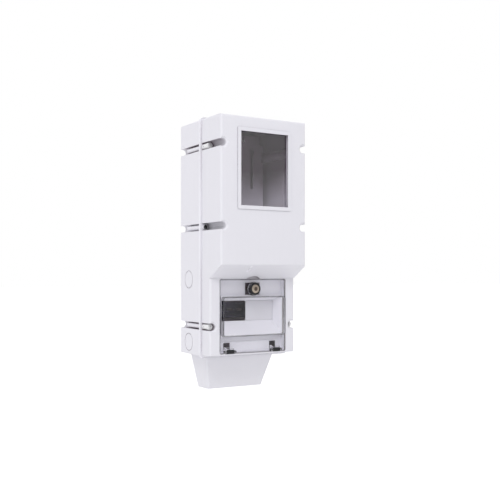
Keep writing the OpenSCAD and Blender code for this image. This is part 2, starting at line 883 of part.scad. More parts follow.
// Tall screw head with a driver slot and a cross hole for the seal's wire
module seal_screws() {
    under = cover_back + flange_t;
    color("white")
        at_pairs(fix_x, seal_zs)
            difference() {
                union() {
                    peg(seal_head_d, under, under + seal_head_h - 1);
                    translate([0, -under - seal_head_h + 1, 0])
                        rotate([90, 0, 0])
                            cylinder(d1 = seal_head_d, d2 = seal_head_d - 2, h = 1);
                    peg(shank_d - seat, base_depth - shank_l, under + 1);
                }
                translate([0, -under - seal_hole_at, 0])
                    rotate([0, 90, 0])
                        cylinder(d = seal_hole_d, h = seal_head_d + past, center = true);
                translate([0, -under - seal_head_h, 0])
                    cube([1.6, 4, seal_head_d + past], center = true);
            }
}

module middle_screws() {
    color(steel)
        at_pairs(fix_x, [fix_mid_z])
            difference() {
                union() {
                    peg(mid_head_d, cover_back + flange_t, cover_back + flange_t + mid_head_h);
                    peg(shank_d - seat, base_depth - shank_l, cover_back + flange_t + 1);
                }
                cross_recess(cover_back + flange_t + mid_head_h, mid_head_d * 0.6);
            }
}

module window_pane() {
    color(smoke_tint)
        between(frame_front, pane_front)
            translate([0, window_z])
                rounded_rect(pane_w, pane_h, 2);
}

module window_gasket() {
    color(rubber_black)
        between(pane_front, front_d - wall)
            translate([0, window_z])
                difference() {
                    rounded_rect(pane_w - 2, pane_h - 2, 2);
                    square([window_w + 2, window_h + 2], center = true);
                }
}

module window_frame() {
    color(panel_grey)
        difference() {
            between(frame_front - frame_t, frame_front)
                translate([0, window_z])
                    difference() {
                        rounded_rect(2 * frame_fix_x + frame_boss_d, pane_h + 2, 3);
                        square([window_w + 2 * frame_step, window_h + 2 * frame_step], center = true);
                    }
            at_pairs(frame_fix_x, frame_fix_zs)
                peg(small_d + 0.4, frame_front - frame_t - past, frame_front + past);
        }
}

module window_screws() {
    color(steel)
        at_pairs(frame_fix_x, frame_fix_zs)
            rear_screw(frame_front - frame_t, frame_t + pane_t);
}

// Funnel from the bay down to the breakers' cut-out, moved out by grow
module din_funnel(grow, back, front) {
    half = din_w / 2 + grow;
    above = din_z + din_h / 2 + grow;
    below = din_z - din_h / 2 - grow;
    flare = (front - din_d) / (floor_d + funnel_rise - din_d);
    side = funnel_side * flare;
    intersection() {
        upright(below - funnel_below * flare, above + funnel_above * flare)
            polygon([[-half, -back], [-half, -din_d], [-half - side, -front],
                [half + side, -front], [half, -din_d], [half, -back]]);
        across(din_w + 2 * (funnel_side * flare + grow))
            polygon([[-back, below], [-back, above], [-din_d, above],
                [-front, above + funnel_above * flare], [-front, below - funnel_below * flare],
                [-din_d, below]]);
    }
}

// Tray that closes the bay, with the funnel, the strike hole and the hinge slots
module breaker_panel() {
    w = bay_w - 2 * panel_gap;
    back = floor_d - panel_t;
    slot_top = bay_bottom + panel_gap + rim_t + hinge_slot_h;
    color(panel_grey)
        difference() {
            union() {
                difference() {
                    between(back, rim_front)
                        bay_outline(panel_gap);
                    between(floor_d, rim_front + past)
                        bay_outline(panel_gap + rim_t);
                }
                din_funnel(rim_t, din_d - rim_t, floor_d + funnel_rise);
                at_pairs(ear_x, ear_zs) {
                    peg(small_head_d + 6, back, floor_d);
                    between(back, floor_d)
                        translate([-ear_out - 1, -small_head_d / 2 - 3])
                            square([ear_out + 1, small_head_d + 6]);
                }
                between(floor_d - 0.5, floor_d + sill_h)
                    translate([-w / 2 + 1, slot_top + sill_above_slot])
                        square([w - 2, 1.5]);
                for (x = [-hinge_x, hinge_x])
                    translate([x, 0, 0])
                        hinge_arm();
            }
            din_funnel(0, din_d, floor_d + funnel_rise + 1);
            between(din_d - rim_t - past, din_d + past)
                translate([0, din_z])
                    square([din_w, din_h], center = true);
            between(back - past, floor_d + past)
                translate([-strike_left, lock_z - strike_h / 2])
                    square([strike_left + strike_right, strike_h]);
            for (x = [-hinge_x, hinge_x])
                translate([x, 0, 0])
                    hinge_cut(slot_top);
            at_pairs(ear_x, ear_zs)
                peg(small_d + 0.4, back - past, floor_d + past);
        }
}

// Upright arm that stands on the tray's lower rim and carries a hinge block
module hinge_arm() {
    low = bay_bottom + panel_gap;
    translate([-hinge_slot_w / 2 + arm_in + arm_t / 2, 0, 0])
        across(arm_t)
            polygon([[-floor_d + panel_t, low], [-pin_depth + block_l / 2, low],
                [-pin_depth + block_l / 2, pin_z + block_h / 2], [-floor_d, pin_z + block_h],
                [-floor_d + panel_t, pin_z + block_h]]);
}

// Slot in the tray's floor behind a hinge block, on both sides of the arm, and the gap
// in the tray's lower rim that the block and the knuckles stand in
module hinge_cut(slot_top) {
    low = bay_bottom + panel_gap + rim_t;
    arm_left = -hinge_slot_w / 2 + arm_in;
    between(floor_d - panel_t - past, floor_d + past)
        difference() {
            translate([-hinge_slot_w / 2, low])
                square([hinge_slot_w, slot_top - low]);
            translate([arm_left, low - past])
                square([arm_t, pin_z + block_h - low + past]);
        }
    clear_w = 2 * (knuckle_in + knuckle_w + 0.5);
    between(pin_depth - block_l / 2, low_d)
        translate([-clear_w / 2, bay_bottom - past])
            square([clear_w, pin_z - bay_bottom + block_h]);
}

module panel_screws() {
    color(steel)
        at_pairs(ear_x, ear_zs)
            rear_screw(floor_d - panel_t, panel_t + ear_grip);
}

// Strip that snaps into the right part of the breakers' cut-out
module blanking_strip() {
    gap = 0.3;
    right = din_w / 2 - gap;
    half = din_h / 2 - gap;
    face = din_d + 0.4;
    hook_d = din_d - rim_t - gap;
    color(panel_grey)
        translate([right - blank_l / 2, 0, din_z])
            across(blank_l)
                polygon(both_sides([[-face, half], [-hook_d, half], [-hook_d, half + 1],
                    [-hook_d + 3, half - 0.6], [-hook_d + 3, half - blank_t],
                    [-face + blank_t, half - blank_t]]));
}

// Black block that holds a hinge pin
module hinge_block() {
    color(rubber_black)
        difference() {
            across(block_w)
                polygon(rounded([
                    [-pin_depth + block_l / 2, pin_z - block_h / 2, 0.6],
                    [-pin_depth + block_l / 2, pin_z + block_h / 2, 0.6],
                    [-pin_depth - block_l / 2, pin_z + block_h / 2, 1],
                    [-pin_depth - block_l / 2, pin_z - block_h / 2, 1]]));
            translate([0, -pin_depth, pin_z])
                rotate([0, 90, 0])
                    cylinder(d = pin_d + 0.04, h = block_w + past, center = true);
        }
}

module hinge_block_left() {
    translate([-hinge_x, 0, 0])
        hinge_block();
}

module hinge_block_right() {
    translate([hinge_x, 0, 0])
        hinge_block();
}

module hinge_pins() {
    length = 2 * (knuckle_in + knuckle_w) - 0.6;
    color(steel)
        for (x = [-hinge_x, hinge_x])
            translate([x, -pin_depth, pin_z])
                rotate([0, 90, 0])
                    cylinder(d = pin_d, h = length, center = true);
}

module din_rail() {
    color(steel)
        translate([0, 0, din_z])
            difference() {
                across(rail_l)
                    polygon(both_sides([[-rail_d + rail_deep, rail_channel / 2],
                        [-rail_d + rail_t, rail_channel / 2], [-rail_d + rail_t, rail_h / 2],
                        [-rail_d, rail_h / 2], [-rail_d, rail_channel / 2 - rail_t],
                        [-rail_d + rail_deep - rail_t, rail_channel / 2 - rail_t]]));
                for (i = [-3 : 2])
                    translate([(i + 0.5) * rail_pitch, 0, 0])
                        between(rail_d - rail_deep - past, rail_d)
                            rounded_rect(rail_slot_l, rail_slot_w, rail_slot_w / 2 - 0.01);
            }
}

module rail_screws() {
    color(steel)
        at_pairs(rail_post_x, [din_z])
            small_screw(rail_d - rail_deep + rail_t, post_grip, rail_slot_w + 2);
}

// Plate that carries the meter, with a tall slot on each side and cut-outs for the
// channels' skins and for reaching the top wall fixings
module meter_plate() {
    skin_x = fix_x - slot_r - wall - 1.5;
    skin_h = 2 * (slot_r + wall + 1.5);
    access = wall_pad_d + 8;
    color(panel_grey)
        between(plate_depth, plate_depth + plate_t)
            difference() {
                translate([0, plate_z])
                    rounded_rect(plate_w, plate_h, 4);
                for (side = [0, 1])
                    mirror([side, 0]) {
                        for (z = [fix_top_z, fix_mid_z])
                            translate([skin_x, z - skin_h / 2])
                                square([plate_w, skin_h]);
                        translate([wall_hole_w / 2 - access / 2, wall_hole_h / 2 - access / 2])
                            square([plate_w, plate_h]);
                        translate([plate_slot_x, plate_slot_z])
                            square([plate_slot_w, plate_slot_h - plate_slot_w], center = true);
                        translate([plate_slot_x, plate_slot_z - plate_slot_h / 2 + plate_slot_w / 2])
                            circle(d = plate_slot_w);
                        translate([plate_slot_x, plate_slot_z + plate_slot_h / 2 - plate_eye_d / 2])
                            circle(d = plate_eye_d);
                        for (z = plate_zs)
                            translate([plate_boss_x, z])
                                circle(d = small_d + 0.4);
                    }
            }
}

module plate_screws() {
    color(steel)
        at_pairs(plate_boss_x, plate_zs)
            small_screw(plate_depth + plate_t, plate_t + post_grip, plate_head_d);
}

// Rounded section of the funnel at a height, moved in by shrink
module funnel_section(w, back, front, z, shrink) {
    translate([0, -(back + front) / 2, z])
        linear_extrude(0.01)
            rounded_rect(w - 2 * shrink, front - back - 2 * shrink, funnel_r - shrink);
}

module funnel_form(shrink, above, below) {
    top_z = -housing_h / 2;
    mouth_z = top_z - funnel_drop;
    hull() {
        funnel_section(funnel_top_w, funnel_back, funnel_front, top_z, shrink, $fn = 32);
        funnel_section(funnel_mouth_w, mouth_back, mouth_front, mouth_z - below, shrink, $fn = 32);
    }
    translate([0, 0, top_z])
        linear_extrude(above)
            translate([0, -(funnel_back + funnel_front) / 2])
                rounded_rect(funnel_top_w - 2 * shrink, funnel_front - funnel_back - 2 * shrink,
                    funnel_r - shrink);
}

// Ledge that lies on the sloping bottom of the base, round the neck
module funnel_ledge() {
    back = funnel_back - ledge_w + 0.5;
    front = funnel_front + ledge_w - 0.5;
    across(funnel_top_w + 2 * ledge_w)
        polygon([[-back, sump_z(back)], [-back, sump_z(back) + ledge_t],
            [-front, sump_z(front) + ledge_t], [-front, sump_z(front)]]);
}

module cable_funnel() {
    neck = housing_h / 2 + sump_z(funnel_back) + ledge_t;
    color(shell_grey)
        difference() {
            union() {
                intersection() {
                    funnel_form(0, neck, 0);
                    upright(-housing_h, sump_z(funnel_back) + ledge_t)
                        square([housing_w, 2 * base_depth], center = true);
                }
                funnel_ledge();
            }
            funnel_form(funnel_wall, neck + past, 0.02);
            for (d = ledge_fix_ds)
                at_pairs(ledge_fix_x, [sump_z(d)])
                    translate([0, -d, -past])
                        cylinder(d = small_d + 0.4, h = ledge_t + 2 * past);
        }
}

module funnel_screws() {
    color(steel)
        for (d = ledge_fix_ds)
            at_pairs(ledge_fix_x, [sump_z(d) + ledge_t])
                translate([0, -d, 0])
                    difference() {
                        union() {
                            translate([0, 0, 0.1])
                                cylinder(d = small_head_d, h = screw_head_h);
                            translate([0, 0, -ledge_t - wall + 0.8])
                                cylinder(d = small_d, h = ledge_t + wall);
                        }
                        for (turn = [0, 90])
                            translate([0, 0, screw_head_h])
                                rotate([0, 0, turn])
                                    cube([small_head_d * 0.6, 0.8, 2], center = true);
                    }
}

// Outline of the raised part of the door, moved in by s
module bulge_outline(s) {
    translate([0, bulge_z])
        rounded_rect(bulge_w - 2 * s, bulge_h - 2 * s, bulge_r - s);
}

// Clear door: a flat sheet with a rim, a raised window and two pairs of knuckles
module breaker_door() {
    low = pin_z - door_below_pin;
    rim_low = pin_z + knuckle_d / 2;
    notch = block_h / 2 + 2.8;
    color(clear_tint)
        swing()
            difference() {
                union() {
                    between(door_back, low_d)
                        door_outline(door_gap, low);
                    between(door_back - door_rim, low_d)
                        difference() {
                            door_outline(door_gap, rim_low);
                            door_outline(door_gap + 1.5, rim_low - past);
                        }
                    between(door_back, low_d + bulge_proud)
                        bulge_outline(0);
                    translate([0, 0, lock_z])
                        peg(ring_d + 3, low_d - 0.5, low_d + lock_collar_h);
                    for (x = [-hinge_x, hinge_x], side = [-1, 1])
                        translate([x + side * (knuckle_in + knuckle_w / 2), 0, 0])
                            knuckle();
                }
                between(door_back - past, low_d + bulge_proud - door_t)
                    bulge_outline(door_t);
                for (x = [-hinge_x, hinge_x]) {
                    between(door_back - door_rim - past, low_d + past)
                        translate([x - knuckle_in, low - past])
                            square([2 * knuckle_in, pin_z + notch - low + past]);
                    translate([x, -pin_depth, pin_z])
                        rotate([0, 90, 0])
                            cylinder(r = pin_d / 2 + pin_clear,
                                h = 2 * (knuckle_in + knuckle_w) + past, center = true);
                }
                translate([0, 0, lock_z])
                    peg(barrel_d + 2 * seat, door_back - past, low_d + 5);
            }
}

// Outline of the bay moved in by s, above the height low
module door_outline(s, low) {
    intersection() {
        bay_outline(s);
        translate([-bay_w / 2, low])
            square([bay_w, bay_h]);
    }
}

// One knuckle of the door
module knuckle() {
    translate([0, -pin_depth, pin_z])
        rotate([0, 90, 0])
            cylinder(d = knuckle_d, h = knuckle_w, center = true);
}

// Turns the door and what rides on it about the hinge, for the view
module swing() {
    translate([0, -pin_depth, pin_z])
        rotate([door_open, 0, 0])
            translate([0, pin_depth, -pin_z])
                children();
}

module lock_ring() {
    color(rubber_black)
        swing()
            translate([0, 0, lock_z])
                difference() {
                    union() {
                        peg(ring_d, ring_back, ring_front - 1.5);
                        translate([0, -ring_front + 1.5, 0])
                            rotate([90, 0, 0])
                                cylinder(d1 = ring_d, d2 = ring_d - 3, h = 1.5);
                    }
                    peg(barrel_d + 2 * seat, ring_back - past, ring_front + past);
                    peg(face_d + 2 * seat, ring_front - 5, ring_front + past);
                }
}

module lock_body() {
    color(nickel)
        swing()
            translate([0, 0, lock_z])
                difference() {
                    union() {
                        peg(barrel_d, cam_front + 0.4, ring_front - 1);
                        peg(face_d, ring_front - 5, ring_front - 0.4);
                        dome(face_d, ring_front - 0.4, dome_h);
                    }
                    peg(core_d + 2 * core_clear, cam_back, ring_front + dome_h + past);
                }
}

// Cap of a sphere on a face at depth d
module dome(diameter, d, height) {
    r = (diameter * diameter / 4 + height * height) / (2 * height);
    intersection() {
        translate([0, -d + r - height, 0])
            sphere(r, $fn = 64);
        peg(diameter, d - 0.5, d + height + 1);
    }
}

module lock_nut() {
    color(steel)
        swing()
            translate([0, 0, lock_z])
                difference() {
                    between(door_back - nut_t, door_back)
                        circle(d = nut_af / cos(30), $fn = 6);
                    peg(barrel_d + 2 * seat, door_back - nut_t - past, door_back + past);
                }
}

// Core with its keyway, squared at the back for the cam
module lock_core() {
    front = ring_front + dome_h - 0.6;
    square_d = core_d - 3;
    color(nickel)
        swing()
            translate([0, 0, lock_z])
                difference() {
                    union() {
                        peg(core_d, cam_front + 0.4, front);
                        between(cam_back + 0.1, cam_front + 1)
                            square(square_d, center = true);
                    }
                    between(front - 8, front + past)
                        square([keyway_w, core_d - 2], center = true);
                    peg(small_d + pilot_clear, cam_back - past, cam_front + 6);
                }
}

// Cam that turns up behind the panel to hold the door
module lock_cam() {
    square_d = core_d - 3;
    color(steel)
        swing()
            translate([0, 0, lock_z])
                between(cam_back, cam_front)
                    difference() {
                        union() {
                            circle(d = cam_w + 2);
                            translate([0, -cam_w / 2])
                                square([cam_l - 2, cam_w]);
                            translate([cam_l - 4, -cam_w / 2 + 2])
                                square([4, cam_w - 4]);
                            for (side = [-1, 1])
                                translate([cam_l - 2, side * (cam_w / 2 - 2)])
                                    circle(2);
                        }
                        square(square_d + 2 * seat, center = true);
                    }
}

module cam_screw() {
    color(steel)
        swing()
            translate([0, 0, lock_z])
                difference() {
                    union() {
                        peg(core_d, cam_back - screw_head_h, cam_back);
                        peg(small_d, cam_back - 0.5, cam_front + 5);
                    }
                    cross_recess(cam_back - screw_head_h, 5);
                }
}

base_housing();
front_cover();
cover_gasket();
thread_inserts();
seal_screws();
middle_screws();
window_pane();
window_gasket();
window_frame();
window_screws();
breaker_panel();
panel_screws();
blanking_strip();
hinge_block_left();
hinge_block_right();
hinge_pins();
din_rail();
rail_screws();
meter_plate();
plate_screws();
cable_funnel();
funnel_screws();
breaker_door();
lock_ring();
lock_body();
lock_nut();
lock_core();
lock_cam();
cam_screw();
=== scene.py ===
"""Looks of the electric meter box: materials, light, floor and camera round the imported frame."""

import math

import bpy
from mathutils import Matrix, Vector


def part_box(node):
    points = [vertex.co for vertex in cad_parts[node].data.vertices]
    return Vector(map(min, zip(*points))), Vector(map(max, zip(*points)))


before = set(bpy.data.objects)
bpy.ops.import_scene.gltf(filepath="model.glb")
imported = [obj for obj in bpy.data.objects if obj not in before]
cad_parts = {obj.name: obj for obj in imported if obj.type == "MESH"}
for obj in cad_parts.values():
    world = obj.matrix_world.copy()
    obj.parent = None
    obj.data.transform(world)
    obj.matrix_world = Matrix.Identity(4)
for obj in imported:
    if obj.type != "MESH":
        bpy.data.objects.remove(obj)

bpy.context.view_layer.update()

# Linear colours
SHELL = (0.775, 0.767, 0.823)
PANEL = (0.80, 0.79, 0.845)
WHITE = (0.84, 0.84, 0.86)
# Dark purple colour of the painted shade in the closed spaces inside
INSIDE_SHADE = (0.105, 0.045, 0.082)
BLACK = (0.018, 0.018, 0.020)
CLEAR = (0.985, 0.985, 0.99)
CLEAR_LETS_BY = (0.97, 0.97, 0.98)
SMOKED = (0.985, 0.96, 1.0)
SMOKED_LETS_BY = (0.99, 0.97, 1.0)
RUBBER = (0.022, 0.022, 0.024)
STEEL = (0.66, 0.66, 0.67)
BLACKED_STEEL = (0.10, 0.10, 0.105)
# The rail's zinc is darkened and tinted navy as painted shade inside the bay
RAIL_ZINC_SHADED = (0.075, 0.065, 0.12)
BRASS = (0.76, 0.56, 0.24)
NICKEL = (0.31, 0.265, 0.22)
DULL_NICKEL = (0.12, 0.095, 0.08)
FLOOR = (0.92, 0.92, 0.92)
PLAIN_WHITE = (1, 1, 1)

# Factors on a plastic's colour: at scuffed edges, lightened partly as painted highlight; the painted
# highlight on the flange's rim and chin mark; streaks; painted shade in recesses; and painted dark lines at
# clear plastic's edges
SCUFFED_HIGHLIT = 1.1
FLANGE_HIGHLIT = 1.17
STREAKED = 0.965
RECESS_SHADED = 0.3
SHADED = 0.1

# Places on the shell, in metres: a range runs from where its mask is 0 to where the mask is full
FLANGE_Y = (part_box("base_housing")[0].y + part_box("front_cover")[1].y) / 2
FLANGE_RANGE = (0.0042, 0.0034)
MARK_X = -0.030
MARK_Z = -0.0684
MARK_ACROSS = (0.0026, 0.0022)
MARK_UP = (0.0065, 0.0060)
MARK_OUT = (-0.16, -0.17)
LOW_SPACE = (-0.02, -0.10)
UNDER_ROOF = (0.095, 0.165)

# Outlines on the clear door where dark refraction lines are painted, in metres: half the width, middle
# height, half the height and corner radius
door_low, door_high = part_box("breaker_door")
DOOR_OUTLINE = (door_high.x, (door_low.z + door_high.z) / 2, (door_high.z - door_low.z) / 2, 0.004)
RAISED_OUTLINE = (door_high.x - 0.0043, -0.1725, 0.0435, 0.006)
LINE_INSIDE = 0.0008
LINE_RANGE = (0.0013, 0.0009)

# Floor, light and camera
FLOOR_HALF = 30
FLOOR_Z = -0.65
FLOOR_GLOW = 0.35
SKY_LEVEL = 0.225
SKY_ABOVE = 0.93
SKY_LEFT = 0.27
LAMP_AT = (-1.466, -2.173, 1.836)
LAMP_SIZE = 1.2
LAMP_POWER = 27.5
CAMERA_AT = (-0.9143, -1.6403, -0.0781)
CAMERA_TURN = -31.2
CAMERA_LENS = 56.88
CAMERA_SHIFT = 0.047


# Node helpers

def new_material(name):
    material = bpy.data.materials.new(name)
    material.use_nodes = True
    material.node_tree.nodes.clear()
    return material, material.node_tree


def add(tree, kind, inputs=None, **settings):
    """A shader node. An input is a number or colour, or the socket that feeds it."""
    made = tree.nodes.new("ShaderNode" + kind)
    for key, value in settings.items():
        setattr(made, key, value)
    for key, value in (inputs or {}).items():
        socket = made.inputs[key]
        if isinstance(value, bpy.types.NodeSocket):
            tree.links.new(value, socket)
        elif socket.type == "RGBA" and len(value) == 3:
            socket.default_value = (*value, 1)
        else:
            socket.default_value = value
    return made


def maths(tree, operation, *values):
    return add(tree, "Math", dict(enumerate(values)), operation=operation).outputs[0]


def times(tree, first, second):
    return maths(tree, "MULTIPLY", first, second)


def most(tree, *values):
    """The largest of the values."""
    largest = values[0]
    for value in values[1:]:
        largest = maths(tree, "MAXIMUM", largest, value)
    return largest


def distance(tree, value, from_value):
    return maths(tree, "ABSOLUTE", maths(tree, "SUBTRACT", value, from_value))


def object_place(tree):
    """The point on the object at rest, in the frame's metres."""
    return add(tree, "TexCoord").outputs["Object"]


def parts_of(tree, vector):
    """The X, Y and Z of a vector."""
    return add(tree, "SeparateXYZ", {0: vector}).outputs


def noise(tree, where, scale, detail=2, rough=0.5, stretch=None):
    if stretch:
        where = add(tree, "Mapping", {"Vector": where, "Scale": stretch}).outputs[0]
    look = {"Vector": where, "Scale": scale, "Detail": detail, "Roughness": rough}
    return add(tree, "TexNoise", look).outputs[0]


def spread(tree, value, low, high, to_low=0, to_high=1):
    """value, remapped from low..high to to_low..to_high and held at those ends."""
    return add(tree, "MapRange", {"Value": value, "From Min": low, "From Max": high,
                                  "To Min": to_low, "To Max": to_high}).outputs[0]


def blend(tree, share, first, second):
    """first where share is 0 and second where it is 1."""
    made = add(tree, "Mix", {"Factor": share}, data_type="RGBA")
    for socket, value in ((made.inputs[6], first), (made.inputs[7], second)):
        if isinstance(value, bpy.types.NodeSocket):
            tree.links.new(value, socket)
        else:
            socket.default_value = (*value, 1)
    return made.outputs[2]


def shade(colour, by):
    return tuple(min(part * by, 1) for part in colour)


def edges(tree, radius):
    """Normals rounded over each edge, and a mask that is 1 along the edges."""
    soft = add(tree, "Bevel", {"Radius": radius}, samples=4).outputs[0]
    hard = add(tree, "NewGeometry").outputs["Normal"]
    same = add(tree, "VectorMath", {0: soft, 1: hard}, operation="DOT_PRODUCT").outputs["Value"]
    return soft, spread(tree, same, 0.99, 0.8)


def recess(tree, reach, open_at, closed_at):
    """Mask that is 0 on open faces and 1 deep in gaps and corners narrower than reach."""
    seen = add(tree, "AmbientOcclusion", {"Distance": reach}, samples=6).outputs["AO"]
    return spread(tree, seen, open_at, closed_at)


def bumped(tree, height, depth, normal, strength=1.0):
    relief = {"Height": height, "Distance": depth, "Strength": strength, "Normal": normal}
    return add(tree, "Bump", relief).outputs[0]


def looking(tree):
    """1 for a ray that looks, directly, by a mirror or through glass, and 0 for one that gathers light."""
    ray = add(tree, "LightPath").outputs
    return most(tree, ray["Is Camera Ray"], ray["Is Glossy Ray"], ray["Is Transmission Ray"])


def mix_shaders(tree, share, first, second):
    return add(tree, "MixShader", {0: share, 1: first.outputs[0], 2: second.outputs[0]})


def finish_with(tree, shader):
    add(tree, "OutputMaterial", {"Surface": shader.outputs[0]})


# Masks for places on the object

def flange_masks(tree, where):
    """Masks of the painted highlight on the flange's rim and the chin's mark, and of where the painted
    recess shade is held off.
    """
    place = parts_of(tree, where)
    normal = parts_of(tree, add(tree, "NewGeometry").outputs["Normal"])
    near = spread(tree, distance(tree, place["Y"], FLANGE_Y), *FLANGE_RANGE)
    sideways = spread(tree, maths(tree, "ABSOLUTE", normal["Y"]), 0.7, 0.4)
    mark = times(tree, spread(tree, distance(tree, place["X"], MARK_X), *MARK_ACROSS),
                 spread(tree, distance(tree, place["Z"], MARK_Z), *MARK_UP))
    mark = times(tree, mark, spread(tree, place["Y"], *MARK_OUT))
    painted_highlight = most(tree, times(tree, near, sideways), mark)
    return painted_highlight, most(tree, painted_highlight, times(tree, near, 0.75))


def closed_spaces(tree, where):
    """Mask of painted shade in the closed spaces: the wiring space low down, and under the roof."""
    height = parts_of(tree, where)["Z"]
    low = spread(tree, height, *LOW_SPACE, to_high=0.85)
    high = spread(tree, height, *UNDER_ROOF, to_high=0.86)
    return times(tree, recess(tree, reach=0.25, open_at=0.5, closed_at=0.25), most(tree, low, high))


def outline(tree, where, half_width, middle, half_height, corner):
    """Mask of a line just inside a rounded rectangle, seen from the front, round X = 0 and Z = middle."""
    place = parts_of(tree, where)
    across = maths(tree, "SUBTRACT", maths(tree, "ABSOLUTE", place["X"]), half_width - corner)
    up = maths(tree, "SUBTRACT", distance(tree, place["Z"], middle), half_height - corner)
    past_corner = add(tree, "CombineXYZ", {0: most(tree, across, 0), 1: most(tree, up, 0)}).outputs[0]
    out = add(tree, "VectorMath", {0: past_corner}, operation="LENGTH").outputs["Value"]
    out = maths(tree, "ADD", out, maths(tree, "MINIMUM", most(tree, across, up), 0))
    return spread(tree, distance(tree, out, corner - LINE_INSIDE), *LINE_RANGE)


# Materials

def moulded(name, colour, rough, grain=1500, grain_depth=2e-5, drift=0.015, scuffed_highlit=0.7, edge=8e-4, gloss=0.5,
            recess_shade=0.0, reach=0.022, flange=False, inside=False):
    """Injection-moulded plastic: spark texture, cloudiness, handled patches, scuffed edges lightened partly
    as painted highlight, and painted shade in recesses and closed spaces.
    """
    material, tree = new_material(name)
    where = object_place(tree)
    cloud = noise(tree, where, scale=8, detail=3)
    handled = noise(tree, where, scale=38, detail=4, rough=0.6)
    streak = noise(tree, where, scale=120, detail=3, rough=0.55, stretch=(1, 1, 0.12))
    speck = noise(tree, where, scale=grain, rough=0.6)
    soft, rim = edges(tree, edge)
    # Edges are lightened: partly wear from handling, partly painted highlight along the rounded edges
    scuffed_highlit_mask = times(tree, rim, spread(tree, handled, 0.4, 0.62, to_low=0.25))
    tone = blend(tree, cloud, shade(colour, 1 - drift), shade(colour, 1 + drift))
    tone = blend(tree, spread(tree, streak, 0.5, 0.75, to_high=0.25), tone, shade(colour, STREAKED))
    tone = blend(tree, times(tree, scuffed_highlit_mask, scuffed_highlit), tone, shade(colour, SCUFFED_HIGHLIT))
    # Painted shade: the colour is darkened in gaps, channels and corners narrower than reach, found by
    # ambient occlusion
    if recess_shade:
        recess_shade_share = times(tree, recess(tree, reach, open_at=0.75, closed_at=0.25), recess_shade)
        if flange:
            # Painted highlight on the flange's rim and the chin's mark, with the painted recess shade held
            # off there
            painted_highlight, shade_held_off = flange_masks(tree, where)
            tone = blend(tree, painted_highlight, tone, shade(colour, FLANGE_HIGHLIT))
            recess_shade_share = times(tree, recess_shade_share, maths(tree, "SUBTRACT", 1, shade_held_off))
        tone = blend(tree, recess_shade_share, tone, shade(colour, RECESS_SHADED))
    # Painted shade: the closed spaces inside, found by wide ambient occlusion and height, are laid with a
    # dark colour
    if inside:
        tone = blend(tree, closed_spaces(tree, where), tone, INSIDE_SHADE)
    matt = spread(tree, handled, 0.3, 0.7, rough + 0.05, rough - 0.04)
    matt = maths(tree, "ADD", matt, times(tree, scuffed_highlit_mask, -0.1))
    finish_with(tree, add(tree, "BsdfPrincipled", {
        "Base Color": tone, "Roughness": matt, "Normal": bumped(tree, speck, grain_depth, soft),
        "IOR": 1.5, "Specular IOR Level": gloss}))
    return material


def metal(name, colour, rough, stretch=(1, 1, 1), scale=400):
    """Plated or turned metal: drifting tone, fine tool marks and edges polished bright by use."""
    material, tree = new_material(name)
    where = object_place(tree)
    cloud = noise(tree, where, scale=60, detail=3, rough=0.6)
    marks = noise(tree, where, scale, detail=3, rough=0.6, stretch=stretch)
    soft, rim = edges(tree, 3e-4)
    tone = blend(tree, cloud, shade(colour, 0.86), shade(colour, 1.06))
    tone = blend(tree, times(tree, rim, 0.6), tone, shade(colour, 1.2))
    matt = spread(tree, marks, 0.3, 0.7, rough - 0.06, rough + 0.08)
    matt = maths(tree, "SUBTRACT", matt, times(tree, rim, 0.08))
    finish_with(tree, add(tree, "BsdfPrincipled", {
        "Base Color": tone, "Roughness": matt, "Normal": bumped(tree, marks, 1e-5, soft),
        "Metallic": 1.0}))
    return material


def rubber(name, colour):
    """Matt rubber with fine pores and scuffed edges."""
    material, tree = new_material(name)
    where = object_place(tree)
    cloud = noise(tree, where, scale=90, detail=4, rough=0.6)
    pores = noise(tree, where, scale=2600)
    soft, rim = edges(tree, 3e-4)
    tone = blend(tree, cloud, shade(colour, 0.8), shade(colour, 1.35))
    tone = blend(tree, times(tree, rim, 0.5), tone, shade(colour, 2.2))
    finish_with(tree, add(tree, "BsdfPrincipled", {
        "Base Color": tone, "Roughness": spread(tree, cloud, 0.3, 0.7, 0.62, 0.78),
        "Normal": bumped(tree, pores, 3e-5, soft), "Specular IOR Level": 0.3}))
    return material


def see_through(name, colour, lets_by, rough, ior, edge, outlines=()):
    """Moulded clear plastic with painted dark lines at its edges, standing for refraction shade. Light for
    what lies behind it passes straight, as lets_by.
    """
    material, tree = new_material(name)
    where = object_place(tree)
    cloud = noise(tree, where, scale=14, detail=3)
    hair = noise(tree, where, scale=260, detail=3, rough=0.6, stretch=(1, 1, 0.05))
    flow = noise(tree, where, scale=22)
    soft, rim = edges(tree, edge)
    tone = blend(tree, cloud, shade(colour, 0.985), shade(colour, 1.01))
    # Painted dark lines along the clear plastic's edges and outlines stand for refraction shade
    tone = blend(tree, times(tree, rim, 0.7), tone, shade(colour, SHADED))
    for shape, dark in outlines:
        uneven = spread(tree, flow, 0.35, 0.65, dark - 0.25, dark)
        line = times(tree, outline(tree, where, *shape), uneven)
        tone = blend(tree, line, tone, shade(colour, SHADED))
    matt = maths(tree, "ADD", spread(tree, hair, 0.55, 0.8, rough, rough + 0.05), times(tree, rim, 0.08))
    plastic = add(tree, "BsdfPrincipled", {
        "Base Color": tone, "Roughness": matt, "Normal": bumped(tree, flow, 6e-5, soft, strength=0.6),
        "IOR": ior, "Transmission Weight": 1.0})
    open_air = add(tree, "BsdfTransparent", {"Color": lets_by})
    ray = add(tree, "LightPath").outputs
    lighting = most(tree, ray["Is Shadow Ray"], ray["Is Diffuse Ray"])
    finish_with(tree, mix_shaders(tree, lighting, plastic, open_air))
    return material


